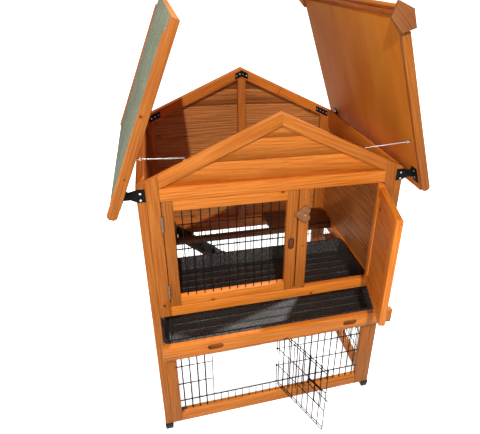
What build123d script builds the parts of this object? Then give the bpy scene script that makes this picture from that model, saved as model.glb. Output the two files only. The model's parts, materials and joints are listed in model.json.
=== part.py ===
from build123d import *
import math
import os

os.makedirs("parts", exist_ok=True)

# A two-storey rabbit hutch: a boarded sleeping room over a wire run, under a gabled roof in
# two halves.  Millimetres; X runs across the front, +Y to the back, Z up from the ground.
# It stands as it is cleaned: both roofs on their stays, the tray drawn, two doors open.

# ---- clearances
butt = 0.2  # between timbers that butt
seat = 0.3  # between wires, fittings or moving pieces and what they lie on
roof_seat = 0.4  # under a closed roof
door_gap = 1.0  # round a door in its frame
slide_gap = 2.0  # beside the tray

# ---- case
width = 780
depth = 620
rake_heel = 35.76  # top edge of the rakes above the eave rail, at the stiles
roof_pitch = 25.23
side_thickness = 24
frame_thickness = 20
post_width = 34
stile_width = 34
rake_width = 33

foot_height = 26
foot_width = 28
foot_length = 40
foot_inset = 3  # how far a foot stands out past its post
foot_taper = 4

bottom_rail = 48
side_bottom_rail = 36
rail_stop_chamfer = 8
run_height = 445  # top of the run frame
run_top_rail = 34
floor_rail = 55  # rails of the sides and the back at the floor
sill_lift = 12  # upper front frame above the floor
sill_rail = 36
doorway_height = 360
eave_rail = 38
mullion_left = 61
mullion_width = 32
side_top_rail = 50

board_pitch = 61
board_thickness = 10
side_board_thickness = 12
vee = 1.6  # chamfer of the V joints
gable_recess = 8

ramp_bay = 114.8  # from the floor beam to the back frame
beam_thickness = 20
beam_height = 24
runner_width = 36
runner_height = 24
floor_board = 9
ramp_hole_side = 81  # from the left side to the ramp hole
ramp_hole_length = 375

# ---- wire mesh
wire = 2.4
mesh_pitch = 25.4
mesh_row_pitch = 82
mesh_first_row = 116
mesh_gap = 0.1  # between crossing wires

# ---- hinged wire door of the run
wire_door_open = 114
wire_door_cells = 9
wire_door_head = 45  # mesh left above the opening
wire_door_pitch = 26.3
wire_door_first = 4.5
ring_radius = 2.8
ring_wire = 2.2
row_offset = 4  # door rows above the mesh rows, so that the rings miss them
edge_row_offset = 12

bolt_wire = 2.6
bolt_back = 153
bolt_tip = 250
bolt_height = 247
bolt_rise = 23
bolt_loop_left = 187
bolt_loop_right = 217
bolt_loop_drop = 57
bolt_bend = 9

# ---- upper doors
hinge_side_gap = 2
left_latch_gap = 4
right_latch_gap = 3
right_door_open = 76
door_stile = 30
door_grip_stile = 33
door_rail = 30
left_door_row_rise = 278  # this and the next heights are above the sill
right_door_thickness = 19

grip_length = 40
grip_width = 18
grip_depth = 10
door_grip_rise = 177.5

barrel_radius = 3
pin_radius = 1.6
bore_gap = 0.3
leaf_width = 18
leaf_thickness = 1.2
door_leaf_thickness = 0.6
hinge_length = 50
upper_hinge_rise = 292
lower_hinge_rise = 60
door_pin_gap = 1.0  # from the door's edge to the pin line

# ---- heart-shaped turn button
button_rise = 280.5
button_thickness = 10
button_gap = 0.5
lobe_radius = 14.5
lobe_spread = 12
lobe_offset = 3  # lobes' centres past the pivot
tip_reach = 30
tip_radius = 2
screw_radius = 2.4
screw_head = 5

# ---- tray
tray_out = 118  # how far it is drawn
tray_height = 49
tray_wall = 2
tray_rim = 6
tray_draft = 14  # degrees
tray_corner = 14
tray_ridge_pitch = 36
tray_ridge_width = 6
tray_ridge_height = 2.5
tray_rail_height = 50
tray_rail_thickness = 18
tray_rail_lift = 3  # above the run frame
tray_grip_spacing = 430
tray_grip_length = 44
tray_grip_width = 17

# ---- roofs
left_open = 43.0
right_open = 46.2
pivot_out = 23  # pin line outside the case
pivot_drop = 8.05  # pin line below the plane of the rakes
eave_overhang = 52.8  # panel past the pin line, along the slope
front_overhang = 50.7
back_overhang = 98
ply_thickness = 18.5
felt_thickness = 3
barge_width = 26.6
barge_thickness = 14
barge_clip = 7
ridge_gap = 0.6
ridge_board_width = 33
ridge_board_thickness = 9
cap_thickness = 12
cap_rise = 8
cap_half_width = 43
cap_half_foot = 25.5
cap_height = 59

# ---- roof hinges
hinge_plate = 2
hinge_plate_width = 21
hinge_plate_height = 44
hinge_nose = 7.9
hinge_pin = 3
ear_drop = 7
flange_down = 27
flange_up = 22
flange_width = 30

# ---- stay hooks
stay_eye_place = 116  # up the slope from the pin line
stay_eye_front = 20  # in front of the case
stay_drop = 11  # hook's pivot below the roof
eye_radius = 4.5
eye_wire = 2.5
hook_wire = 3
hook_length = 120
hook_depth = 27  # gable eye behind the front face
hook_tip = 6
eye_sink = 4  # gable eye below the top of the rake
hook_axis = (0.5797, -0.4022, -0.7087)  # up the slope, back, out of the felt
eye_lean = (0.1779, -0.7863, 0.5917)  # from the pivot to the middle of the roof's eye

# ---- ramp
ramp_hinge_setback = 7  # pin line inside the ramp hole
ramp_slope = 40.5
ramp_thickness = 12
ramp_width = 107
ramp_ground_gap = 1
ramp_pin_drop = 3
ramp_barrel = 2.6
ramp_hinge_length = 60
ramp_leaf_reach = 36
ramp_plate_reach = 20
first_cleat = 60
last_cleat_gap = 40
cleat_pitch = 62
cleat_width = 12
cleat_height = 6

# ---- brackets of the back frame
bracket_thickness = 1.5
bracket_width = 22
bracket_reach = 24
bracket_inset = 6
bracket_edge = 8
bracket_hole = 2.2

# ---- lines that several pieces share
half = width / 2
inner = half - side_thickness
front = -depth / 2
back = depth / 2
pitch = math.radians(roof_pitch)
stile_edge = inner - stile_width
floor_level = run_height + floor_rail
upper_base = floor_level + sill_lift
sill_top = upper_base + sill_rail
eave_base = sill_top + doorway_height
eave_top = eave_base + eave_rail
ridge_height = eave_top + rake_heel + stile_edge * math.tan(pitch)
back_frame_face = back - board_thickness - butt  # where the back boards are nailed on
back_frame_front = back_frame_face - frame_thickness
beam_front = back_frame_front - ramp_bay - beam_thickness
ramp_hole_left = ramp_hole_side - inner
ramp_hole_right = ramp_hole_left + ramp_hole_length
ramp_hinge_x = ramp_hole_left + ramp_hinge_setback
tray_depth = beam_front - slide_gap - front - tray_rail_thickness
left_door_left = hinge_side_gap - stile_edge
left_door_right = mullion_left - left_latch_gap
right_door_left = mullion_left + mullion_width + right_latch_gap
right_door_right = stile_edge - hinge_side_gap
button_x = mullion_left + mullion_width / 2
left_door_row = sill_top + left_door_row_rise
door_grip_height = sill_top + door_grip_rise
upper_hinge_height = sill_top + upper_hinge_rise
lower_hinge_height = sill_top + lower_hinge_rise
button_height = sill_top + button_rise
run_mesh_plane = front + frame_thickness / 2
underside = pivot_drop + roof_seat
pivot_x = half + pivot_out
mesh_lift = (wire + mesh_gap) / 2


def roof_line(x):
    """Height of the top edge of the gables and sides."""
    return ridge_height - math.tan(pitch) * abs(x)


def rake_line(x):
    """Height of the lower edge of the rakes."""
    return roof_line(x) - rake_width / math.cos(pitch)


pivot_z = roof_line(pivot_x) - pivot_drop / math.cos(pitch)


def save(piece, label):
    piece.part.label = label
    export_step(piece.part, f"parts/{label}.step")


def block(x, y, z, base=Plane.XY):
    """A square-edged piece between limits, in the axes of base."""
    centre = Location(((x[0] + x[1]) / 2, (y[0] + y[1]) / 2, (z[0] + z[1]) / 2))
    with Locations(base.location * centre):
        Box(x[1] - x[0], y[1] - y[0], z[1] - z[0])


def section(base, x):
    """A plane across base's X axis, with base's Y and Z as its own axes."""
    return Plane(origin=base.from_local_coords((x, 0, 0)), x_dir=base.y_dir, z_dir=base.x_dir)


def cut_board(outline, y_back, thickness, mode=Mode.ADD):
    """A board facing front, sawn to an outline of (x, z) points."""
    with BuildSketch(Plane.XZ.offset(-y_back)) as profile:
        with BuildLine():
            Polyline(*outline, close=True)
        make_face()
    extrude(profile.sketch, amount=thickness, mode=mode)


def plank(x, y, z, base=Plane.XY):
    """A board along X whose long edges are chamfered for V joints."""
    with BuildSketch(section(base, x[0])) as profile:
        with Locations(((y[0] + y[1]) / 2, (z[0] + z[1]) / 2)):
            Rectangle(y[1] - y[0], z[1] - z[0])
        chamfer(profile.vertices(), vee)
    extrude(profile.sketch, amount=x[1] - x[0])


def courses(low, high):
    """Heights of the boards that fill a panel from low to high."""
    count = math.ceil((high - low) / board_pitch - 0.2)
    tops = [low + board_pitch * (i + 1) for i in range(count - 1)] + [high]
    bottoms = [low] + tops[:-1]
    return [(bottom + butt / 2, top - butt / 2) for bottom, top in zip(bottoms, tops)]


def wire_uprights(spots, z, base=Plane.XY):
    with BuildSketch(base.offset(z[0])) as ends:
        with Locations(*spots):
            RegularPolygon(wire / 2, 6)
    extrude(ends.sketch, amount=z[1] - z[0])


def wire_rows(spots, x, base=Plane.XY):
    with BuildSketch(section(base, x[0])) as ends:
        with Locations(*spots):
            RegularPolygon(wire / 2, 6)
    extrude(ends.sketch, amount=x[1] - x[0])


def mesh_columns(clear_width):
    count = math.floor(clear_width / mesh_pitch)
    return [(i - (count - 1) / 2) * mesh_pitch for i in range(count)]


def mesh_rows(low, high):
    count = math.ceil((high - wire - mesh_first_row) / mesh_row_pitch)
    return [mesh_first_row + i * mesh_row_pitch for i in range(count)]


def mesh_sheet(x, z, base):
    """Welded mesh that fills a frame: uprights in front, rows behind."""
    columns = [(c, -mesh_lift) for c in mesh_columns(x[1] - x[0])]
    wire_uprights(columns, (z[0] + seat, z[1] - seat), base)
    rows = [(mesh_lift, r) for r in mesh_rows(*z)]
    wire_rows(rows, (x[0] + seat, x[1] - seat), base)


def grip_recess(plane, length, breadth, rotation=0):
    """A finger grip routed into a face; the plane faces out of the timber."""
    with BuildSketch(plane) as slot:
        SlotOverall(length, breadth, rotation=rotation)
    extrude(slot.sketch, amount=-grip_depth, mode=Mode.SUBTRACT)


# =============================================================== sides
for side, name in ((-1, "left"), (1, "right")):
    side_base = Plane(origin=(side * (half - side_thickness / 2), 0, 0), x_dir=(0, 1, 0), z_dir=(0, 0, 1))
    run = (front + post_width + butt, back - post_width - butt)
    slab = (-side_thickness / 2, side_thickness / 2)

    with BuildPart() as side_posts:
        outline = [
            (side * inner, foot_height),
            (side * half, foot_height),
            (side * half, roof_line(half)),
            (side * inner, roof_line(inner)),
        ]
        cut_board(outline, front + post_width, post_width)
        cut_board(outline, back, post_width)
    save(side_posts, f"{name}_side_posts")

    with BuildPart() as side_rails:
        top_low = roof_line(half) - side_top_rail
        outline = [
            (side * inner, top_low),
            (side * half, top_low),
            (side * half, roof_line(half)),
            (side * inner, roof_line(inner)),
        ]
        cut_board(outline, run[1], run[1] - run[0])
        block(run, slab, (run_height, floor_level), side_base)
        block(run, slab, (foot_height, foot_height + side_bottom_rail), side_base)
    save(side_rails, f"{name}_side_rails")

    with BuildPart() as side_boards:
        leaf = (-side_board_thickness / 2, side_board_thickness / 2)
        for course in courses(floor_level, top_low):
            plank(run, leaf, course, side_base)
    save(side_boards, f"{name}_side_boards")

    with BuildPart() as side_mesh:
        clear = (front + post_width, back - post_width)
        mesh_sheet(clear, (foot_height + side_bottom_rail, run_height), side_base)
    save(side_mesh, f"{name}_side_mesh")

# =============================================================== back

def stile_outline(side, low):
    return [
        (side * stile_edge, low),
        (side * (inner - butt), low),
        (side * (inner - butt), roof_line(inner - butt)),
        (side * stile_edge, roof_line(stile_edge)),
    ]


def rake_outline(side, floor):
    """From the stile to the mitre at the apex, cut off level with the rail below."""
    end = stile_edge - butt
    points = [(end, roof_line(end)), (butt / 2, roof_line(butt / 2)), (butt / 2, rake_line(butt / 2))]
    if rake_line(end) < floor:
        points += [((rake_line(0) - floor) / math.tan(pitch), floor), (end, floor)]
    else:
        points += [(end, rake_line(end))]
    return [(side * x, z) for x, z in points]


with BuildPart() as back_stiles:
    for side in (-1, 1):
        cut_board(stile_outline(side, foot_height), back_frame_face, frame_thickness)
    centre = 15
    outline = [
        (-centre, floor_level + butt),
        (centre, floor_level + butt),
        (centre, rake_line(centre) - butt),
        (0, rake_line(0) - butt),
        (-centre, rake_line(centre) - butt),
    ]
    cut_board(outline, back_frame_face, frame_thickness)
save(back_stiles, "back_stiles")

with BuildPart() as back_rails:
    span = (-stile_edge + butt, stile_edge - butt)
    thick = (back_frame_front, back_frame_face)
    block(span, thick, (foot_height, foot_height + bottom_rail))
    block(span, thick, (run_height, floor_level))
save(back_rails, "back_rails")

with BuildPart() as back_rakes:
    for side in (-1, 1):
        cut_board(rake_outline(side, 0), back_frame_face, frame_thickness)
save(back_rakes, "back_rakes")

with BuildPart() as back_boards:
    edge = inner - butt
    for course in courses(run_height, ridge_height):
        plank((-edge, edge), (back - board_thickness, back), course)
    gable = [
        (-edge, run_height),
        (edge, run_height),
        (edge, roof_line(edge)),
        (0, roof_line(0)),
        (-edge, roof_line(edge)),
    ]
    cut_board(gable, back, board_thickness, Mode.INTERSECT)
save(back_boards, "back_boards")

with BuildPart() as back_mesh:
    back_base = Plane(origin=(0, back_frame_front + frame_thickness / 2, 0))
    mesh_sheet((-stile_edge, stile_edge), (foot_height + bottom_rail, run_height), back_base)
save(back_mesh, "back_mesh")

with BuildPart() as corner_brackets:
    bracket_face = back_frame_front - seat
    outer = (stile_edge - bracket_reach, inner - bracket_inset)
    spans = ((-bracket_reach, bracket_reach), outer, (-outer[1], -outer[0]))
    for low, high in spans:
        bends = sorted({low, high, 0} if low < 0 < high else {low, high})
        top = [(x, roof_line(x) - bracket_edge) for x in bends]
        bottom = [(x, roof_line(x) - bracket_edge - bracket_width) for x in reversed(bends)]
        cut_board(top + bottom, bracket_face, bracket_thickness)
        with BuildSketch(Plane.XZ.offset(-bracket_face)):
            for part in (0.12, 0.38, 0.62, 0.88):
                x = low + part * (high - low)
                with Locations((x, roof_line(x) - bracket_edge - bracket_width / 2)):
                    Circle(bracket_hole)
        extrude(amount=bracket_thickness, mode=Mode.SUBTRACT)
save(corner_brackets, "corner_brackets")

# =============================================================== upper front
with BuildPart() as front_stiles:
    for side in (-1, 1):
        cut_board(stile_outline(side, upper_base), front + frame_thickness, frame_thickness)
save(front_stiles, "front_stiles")

with BuildPart() as front_rails:
    span = (-stile_edge + butt, stile_edge - butt)
    thick = (front, front + frame_thickness)
    block(span, thick, (upper_base, sill_top))
    block(span, thick, (eave_base, eave_top))
save(front_rails, "front_rails")

with BuildPart() as front_mullion:
    block((mullion_left, mullion_left + mullion_width), thick, (sill_top + butt, eave_base - butt))
save(front_mullion, "front_mullion")

with BuildPart() as gable_rakes:
    for side in (-1, 1):
        cut_board(rake_outline(side, eave_top + butt), front + frame_thickness, frame_thickness)
save(gable_rakes, "gable_rakes")

with BuildPart() as gable_boards:
    board_back = front + gable_recess + board_thickness
    low = eave_top + butt
    edge = min((rake_line(0) - butt - low) / math.tan(pitch), stile_edge - butt)
    for course in courses(low, rake_line(0)):
        plank((-edge, edge), (board_back - board_thickness, board_back), course)
    under_rake = max(rake_line(edge) - butt, low + butt / 10)
    gable = [(-edge, low), (edge, low), (edge, under_rake), (0, rake_line(0) - butt), (-edge, under_rake)]
    cut_board(gable, board_back, board_thickness, Mode.INTERSECT)
save(gable_boards, "gable_boards")

# =============================================================== run front
with BuildPart() as run_front_stiles:
    for side in (-1, 1):
        edges = sorted((side * stile_edge, side * (inner - butt)))
        block(edges, thick, (foot_height, run_height))
save(run_front_stiles, "run_front_stiles")

with BuildPart() as run_front_rails:
    block(span, thick, (foot_height, foot_height + bottom_rail))
    block(span, thick, (run_height - run_top_rail, run_height))
    lower = run_front_rails.solids().sort_by(Axis.Z)[0]
    nose = lower.faces().sort_by(Axis.Z)[-1].edges().sort_by(Axis.Y)[0]
    chamfer(nose, rail_stop_chamfer)
save(run_front_rails, "run_front_rails")

run_levels = (foot_height + bottom_rail + seat, run_height - run_top_rail - seat)
run_rows = mesh_rows(*run_levels)
hatch_rows = [row for row in run_rows if row < run_levels[1] - wire_door_head]
hatch_right = mesh_pitch / 2
hatch_left = hatch_right - wire_door_cells * mesh_pitch

with BuildPart() as run_front_mesh:
    mesh_base = Plane(origin=(0, run_mesh_plane, 0))
    low, high = run_levels
    columns = mesh_columns(2 * stile_edge)
    cut = [c for c in columns if hatch_left + wire < c < hatch_right - wire]
    whole = [c for c in columns if c not in cut]
    wire_uprights([(c, -mesh_lift) for c in whole], (low, high), mesh_base)
    wire_uprights([(c, -mesh_lift) for c in cut], (low, hatch_rows[0] + wire / 2), mesh_base)
    wire_uprights([(c, -mesh_lift) for c in cut], (hatch_rows[-1] - wire / 2, high), mesh_base)
    reach = stile_edge - seat
    for row in run_rows:
        if row in hatch_rows[1:-1]:
            wire_rows([(mesh_lift, row)], (-reach, hatch_left + wire / 2), mesh_base)
            wire_rows([(mesh_lift, row)], (hatch_right - wire / 2, reach), mesh_base)
        else:
            wire_rows([(mesh_lift, row)], (-reach, reach), mesh_base)
save(run_front_mesh, "run_front_mesh")

# The wire door turns on the upright at the right of its opening.
open_angle = math.radians(wire_door_open)
wire_door_base = Plane(
    origin=(hatch_right, run_mesh_plane - mesh_lift, 0),
    x_dir=(-math.cos(open_angle), -math.sin(open_angle), 0),
    z_dir=(0, 0, 1),
)
door_row_out = ring_radius
door_upright_out = door_row_out + wire + mesh_gap
door_rows = [row + row_offset for row in hatch_rows]
edge_rows = [door_rows[0] - edge_row_offset, door_rows[-1] + edge_row_offset]

with BuildPart() as wire_door:
    columns = [wire_door_first + i * wire_door_pitch for i in range(wire_door_cells + 1)]
    heights = (edge_rows[0] - wire, edge_rows[1] + wire)
    wire_uprights([(c, door_upright_out) for c in columns], heights, wire_door_base)
    lengths = (ring_radius + wire / 2, columns[-1] + wire / 2)
    wire_rows([(door_row_out, row) for row in edge_rows + door_rows], lengths, wire_door_base)
save(wire_door, "wire_door")

with BuildPart() as wire_door_rings:
    with Locations(*[wire_door_base.location * Location((0, 0, row)) for row in door_rows]):
        Torus(ring_radius, ring_wire / 2)
save(wire_door_rings, "wire_door_rings")

bolt_out = door_upright_out + (wire + bolt_wire) / 2 + seat
bolt_plane = Plane(
    origin=wire_door_base.from_local_coords((0, bolt_out, bolt_height)),
    x_dir=wire_door_base.x_dir,
    z_dir=-wire_door_base.y_dir,
)
loop_plane = bolt_plane.offset(-bolt_wire)


def bent_wire(plane, points, bend, diameter):
    """A round wire bent in a plane through the given corners."""
    with BuildLine(plane) as path:
        FilletPolyline(*points, radius=bend)
    with BuildSketch(Plane(origin=path.line @ 0, z_dir=path.line % 0)) as end:
        RegularPolygon(diameter / 2, 8)
    sweep(end.sketch, path=path.line)


with BuildPart() as wire_bolt:
    shank = [(bolt_tip, 0), (bolt_back, 0), (bolt_back, bolt_rise), (bolt_loop_right + 3, bolt_rise)]
    bent_wire(bolt_plane, shank, bolt_bend, bolt_wire)
    loop = [
        (bolt_loop_left, bolt_rise + 1.5),
        (bolt_loop_left, -bolt_loop_drop),
        (bolt_loop_right, -bolt_loop_drop),
        (bolt_loop_right, bolt_rise + 1.5),
    ]
    bent_wire(bolt_plane.offset(-bolt_wire * 0.8), loop, bolt_bend, bolt_wire)
save(wire_bolt, "wire_bolt")

# =============================================================== floor
with BuildPart() as floor_beams:
    beam_span = (-inner + butt, inner - butt)
    beam_levels = (floor_level - beam_height, floor_level)
    block(beam_span, (beam_front, beam_front + beam_thickness), beam_levels)
    ledge = (back_frame_front - butt - beam_thickness, back_frame_front - butt)
    block((beam_span[0], ramp_hole_left), ledge, beam_levels)
    block((ramp_hole_right, beam_span[1]), ledge, beam_levels)
save(floor_beams, "floor_beams")

with BuildPart() as rear_floor:
    floor_depth = (beam_front + beam_thickness / 2, back_frame_front - butt)
    floor_levels = (floor_level + butt, floor_level + butt + floor_board)
    block((beam_span[0], ramp_hole_left), floor_depth, floor_levels)
    block((ramp_hole_right, beam_span[1]), floor_depth, floor_levels)
save(rear_floor, "rear_floor")

tray_base = run_height + tray_rail_lift + slide_gap

with BuildPart() as tray_runners:
    for side in (-1, 1):
        edges = sorted((side * (inner - butt - runner_width), side * (inner - butt)))
        lengths = (front + frame_thickness + butt, beam_front - butt)
        block(edges, lengths, (tray_base - seat - runner_height, tray_base - seat))
save(tray_runners, "tray_runners")

with BuildPart() as feet:
    for side in (-1, 1):
        for end in (-1, 1):
            x = side * (half - side_thickness / 2)
            y = end * (back - foot_length / 2 + foot_inset)
            with BuildSketch(Plane.XY.offset(foot_height - butt)):
                with Locations((x, y)):
                    Rectangle(foot_width, foot_length)
            with BuildSketch(Plane.XY):
                with Locations((x, y)):
                    Rectangle(foot_width - foot_taper, foot_length - foot_taper)
            loft()
save(feet, "feet")

# =============================================================== tray
tray_front = front - tray_out + tray_rail_thickness
tray_half = inner - slide_gap
tray_middle = tray_front + tray_depth / 2

with BuildPart() as tray_front_rail:
    rail_levels = (run_height + tray_rail_lift, run_height + tray_rail_lift + tray_rail_height)
    rail_half = inner - slide_gap / 2
    block((-rail_half, rail_half), (front - tray_out, tray_front - butt), rail_levels)
    grip_middle = sum(rail_levels) / 2 + 1.5
    for side in (-1, 1):
        face = Plane(
            origin=(side * tray_grip_spacing / 2, front - tray_out, grip_middle),
            x_dir=(1, 0, 0),
            z_dir=(0, -1, 0),
        )
        grip_recess(face, tray_grip_length, tray_grip_width)
save(tray_front_rail, "tray_front_rail")

with BuildPart() as tray_pan:
    pan_middle = (0, tray_middle)
    body = (2 * (tray_half - tray_rim), tray_depth - 2 * tray_rim)
    slant = (tray_height - tray_wall) * math.tan(math.radians(tray_draft))
    floor = (body[0] - 2 * slant, body[1] - 2 * slant)
    with BuildSketch(Plane.XY.offset(tray_base)):
        with Locations(pan_middle):
            RectangleRounded(*floor, tray_corner)
    extrude(amount=tray_height - tray_wall, taper=-tray_draft)
    with BuildSketch(Plane.XY.offset(tray_base + tray_height - tray_wall)):
        with Locations(pan_middle):
            RectangleRounded(2 * tray_half, tray_depth, tray_corner + tray_rim)
    extrude(amount=tray_wall)
    with BuildSketch(Plane.XY.offset(tray_base + tray_wall)):
        with Locations(pan_middle):
            RectangleRounded(floor[0] - 2 * tray_wall, floor[1] - 2 * tray_wall, tray_corner - tray_wall)
    extrude(amount=tray_height - tray_wall, taper=-tray_draft, mode=Mode.SUBTRACT)
    ridge_count = math.floor((floor[1] - 2 * tray_corner) / tray_ridge_pitch)
    with BuildSketch(Plane.XY.offset(tray_base + tray_wall)):
        with Locations(pan_middle):
            with GridLocations(1, tray_ridge_pitch, 1, ridge_count):
                SlotOverall(floor[0] - 2 * tray_corner, tray_ridge_width)
    extrude(amount=tray_ridge_height, taper=20)
save(tray_pan, "tray_pan")

# =============================================================== upper doors
door_levels = (sill_top + door_gap, eave_base - door_gap)
pin_y = front - seat - barrel_radius


def hinge_leaf(base, out, middle, knuckles, pinned):
    """A butt hinge's leaf in the joint beside a door, with its knuckles in front.

    Base's +X points at the timber that carries the leaf; out is the side of its Y that faces front.
    """
    low = middle - hinge_length / 2
    third = hinge_length / 3
    face = (door_pin_gap - butt - door_leaf_thickness, door_pin_gap - butt)
    leaf_start = barrel_radius + 0.5
    block(face, sorted((-out * leaf_start, -out * leaf_width)), (low, low + hinge_length), base)
    for knuckle in knuckles:
        span = (low + knuckle * third + seat / 2, low + (knuckle + 1) * third - seat / 2)
        block(face, sorted((0, -out * leaf_start)), span, base)
        with Locations(base.location * Location((0, 0, sum(span) / 2))):
            Cylinder(barrel_radius, span[1] - span[0])
            if not pinned:
                Cylinder(pin_radius + bore_gap, hinge_length, mode=Mode.SUBTRACT)
    if pinned:
        with Locations(base.location * Location((0, 0, middle))):
            Cylinder(pin_radius, hinge_length)


left_door_base = Plane(origin=(left_door_left - door_pin_gap, pin_y, 0))
left_stile_base = Plane(origin=left_door_base.origin, x_dir=(-1, 0, 0), z_dir=(0, 0, 1))
right_stile_base = Plane(origin=(right_door_right + door_pin_gap, pin_y, 0))
swing = math.radians(right_door_open)
right_door_base = Plane(
    origin=right_stile_base.origin, x_dir=(-math.cos(swing), -math.sin(swing), 0), z_dir=(0, 0, 1)
)

with BuildPart() as door_hinge_leaves:
    for middle in (lower_hinge_height, upper_hinge_height):
        hinge_leaf(left_stile_base, 1, middle, (0, 2), True)
        hinge_leaf(right_stile_base, -1, middle, (0, 2), True)
save(door_hinge_leaves, "door_hinge_leaves")

with BuildPart() as left_door_hinges:
    for middle in (lower_hinge_height, upper_hinge_height):
        hinge_leaf(left_door_base, -1, middle, (1,), False)
save(left_door_hinges, "left_door_hinges")

with BuildPart() as right_door_hinges:
    for middle in (lower_hinge_height, upper_hinge_height):
        hinge_leaf(right_door_base, 1, middle, (1,), False)
save(right_door_hinges, "right_door_hinges")

with BuildPart() as left_door_frame:
    window = (left_door_left + door_stile, left_door_right - door_grip_stile)
    block((left_door_left, window[0]), thick, door_levels)
    block((window[1], left_door_right), thick, door_levels)
    rails = (window[0] + butt, window[1] - butt)
    block(rails, thick, (door_levels[0], door_levels[0] + door_rail))
    block(rails, thick, (door_levels[1] - door_rail, door_levels[1]))
    grip = Plane(
        origin=((window[1] + left_door_right) / 2, front, door_grip_height),
        x_dir=(1, 0, 0),
        z_dir=(0, -1, 0),
    )
    grip_recess(grip, grip_length, grip_width, 90)
save(left_door_frame, "left_door_frame")

with BuildPart() as left_door_mesh:
    columns = [sum(window) / 2 + column for column in mesh_columns(window[1] - window[0])]
    opening = (door_levels[0] + door_rail, door_levels[1] - door_rail)
    wire_uprights([(c, -mesh_lift) for c in columns], (opening[0] + seat, opening[1] - seat), mesh_base)
    rows = [left_door_row - i * mesh_row_pitch for i in range(3)]
    wire_rows([(mesh_lift, row) for row in rows], (window[0] + seat, window[1] - seat), mesh_base)
save(left_door_mesh, "left_door_mesh")

# The right door in its own axes: X from the pin line to the free edge, Y out of its face.
door_face = -(seat + barrel_radius)
door_slab = (door_face - right_door_thickness, door_face)
door_reach = right_door_right - right_door_left + door_pin_gap

with BuildPart() as right_door_frame:
    stiles = ((door_pin_gap, door_pin_gap + door_stile), (door_reach - door_grip_stile, door_reach))
    for stile in stiles:
        block(stile, door_slab, door_levels, right_door_base)
    rails = (stiles[0][1] + butt, stiles[1][0] - butt)
    block(rails, door_slab, (door_levels[0], door_levels[0] + door_rail), right_door_base)
    block(rails, door_slab, (door_levels[1] - door_rail, door_levels[1]), right_door_base)
    grip_x = door_reach - door_grip_stile / 2
    grip = Plane(
        origin=right_door_base.from_local_coords((grip_x, door_face, door_grip_height)),
        x_dir=right_door_base.x_dir,
        z_dir=right_door_base.y_dir,
    )
    grip_recess(grip, grip_length, grip_width, 90)
save(right_door_frame, "right_door_frame")

with BuildPart() as right_door_boards:
    middle = sum(door_slab) / 2
    leaf = (middle - board_thickness / 2, middle + board_thickness / 2)
    for course in courses(door_levels[0] + door_rail, door_levels[1] - door_rail):
        plank(rails, leaf, course, right_door_base)
save(right_door_boards, "right_door_boards")

# =============================================================== turn button
with BuildPart() as turn_button:
    for lobe in (-1, 1):
        with BuildSketch(Plane.XZ.offset(-(front - button_gap))):
            with Locations((button_x + lobe_offset, button_height + lobe * lobe_spread)):
                Circle(lobe_radius)
            with Locations((button_x - tip_reach, button_height)):
                Circle(tip_radius)
            make_hull()
        extrude(amount=button_thickness)
    rim = turn_button.faces().sort_by(Axis.Y)[0].edges()
    chamfer(rim, 1.5)
    with BuildSketch(Plane.XZ.offset(-(front - button_gap))):
        with Locations((button_x, button_height)):
            Circle(screw_radius + bore_gap)
    extrude(amount=button_thickness, mode=Mode.SUBTRACT)
save(turn_button, "turn_button")

with BuildPart() as button_screw:
    screw_back = front - butt
    head_base = front - button_gap - button_thickness - seat
    with BuildSketch(Plane.XZ.offset(-screw_back)):
        with Locations((button_x, button_height)):
            Circle(screw_radius)
    extrude(amount=screw_back - head_base)
    with BuildSketch(Plane.XZ.offset(-head_base)):
        with Locations((button_x, button_height)):
            Circle(screw_head)
    extrude(amount=2.5, taper=25)
save(button_screw, "button_screw")

# =============================================================== roofs
felt_top = underside + ply_thickness + butt + felt_thickness
ridge_end = (pivot_x + underside * math.sin(pitch)) / math.cos(pitch) - ridge_gap
barge_front = front - front_overhang
barge_back = back + back_overhang
notch = ridge_end - ridge_board_width - 1


def roof_angle(side):
    return pitch + math.radians(right_open if side > 0 else left_open)


def roof_base(side):
    """Axes of a roof as it stands: X up the slope from the pin line, Z out of the felt."""
    angle = roof_angle(side)
    return Plane(
        origin=(side * pivot_x, 0, pivot_z),
        x_dir=(-side * math.cos(angle), 0, math.sin(angle)),
        z_dir=(side * math.sin(angle), 0, math.cos(angle)),
    )


def roof_board(side, outline, y_back, length):
    """A piece along Y from an outline of (up the slope, out of the felt) points."""
    base = roof_base(side)
    origin = (side * pivot_x, y_back, pivot_z)
    with BuildSketch(Plane(origin=origin, x_dir=base.x_dir, z_dir=(0, -1, 0))) as profile:
        with BuildLine():
            Polyline(*[(s, -side * t) for s, t in outline], close=True)
        make_face()
    extrude(profile.sketch, amount=length)


def roof_vector(side, vector):
    """A direction given up the slope, to the back and out of the felt."""
    base = roof_base(side)
    return (base.x_dir * vector[0] + Vector(0, 1, 0) * vector[1] + base.z_dir * vector[2]).normalized()


def hook_pivot(side):
    """Where a stay hook hangs in its roof's eye."""
    place = (stay_eye_place, side * (-front + stay_eye_front), underside - stay_drop)
    return roof_base(side).from_local_coords(place)


def hook_elbow(side):
    """Where a stay hook bends down, hook_length from its pivot and just over the rake."""
    pivot = hook_pivot(side)
    reach = math.sqrt(hook_length**2 - (hook_depth + stay_eye_front) ** 2)
    fall = math.tan(pitch)
    top = ridge_height + (hook_tip - eye_sink) / math.cos(pitch)
    rise = pivot.Z - (top - fall * abs(pivot.X))
    a = 1 + fall**2
    b = fall * rise
    across = (b + math.sqrt(b**2 - a * (rise**2 - reach**2))) / a
    x = abs(pivot.X) - across
    return Vector(side * x, front + hook_depth, top - fall * x)


def closed_point(x, z):
    """Slope coordinates, on the right roof, of a point given as the roof lies closed."""
    across = x - pivot_x
    up = z - pivot_z
    return (up * math.sin(pitch) - across * math.cos(pitch), across * math.sin(pitch) + up * math.cos(pitch))


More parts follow.
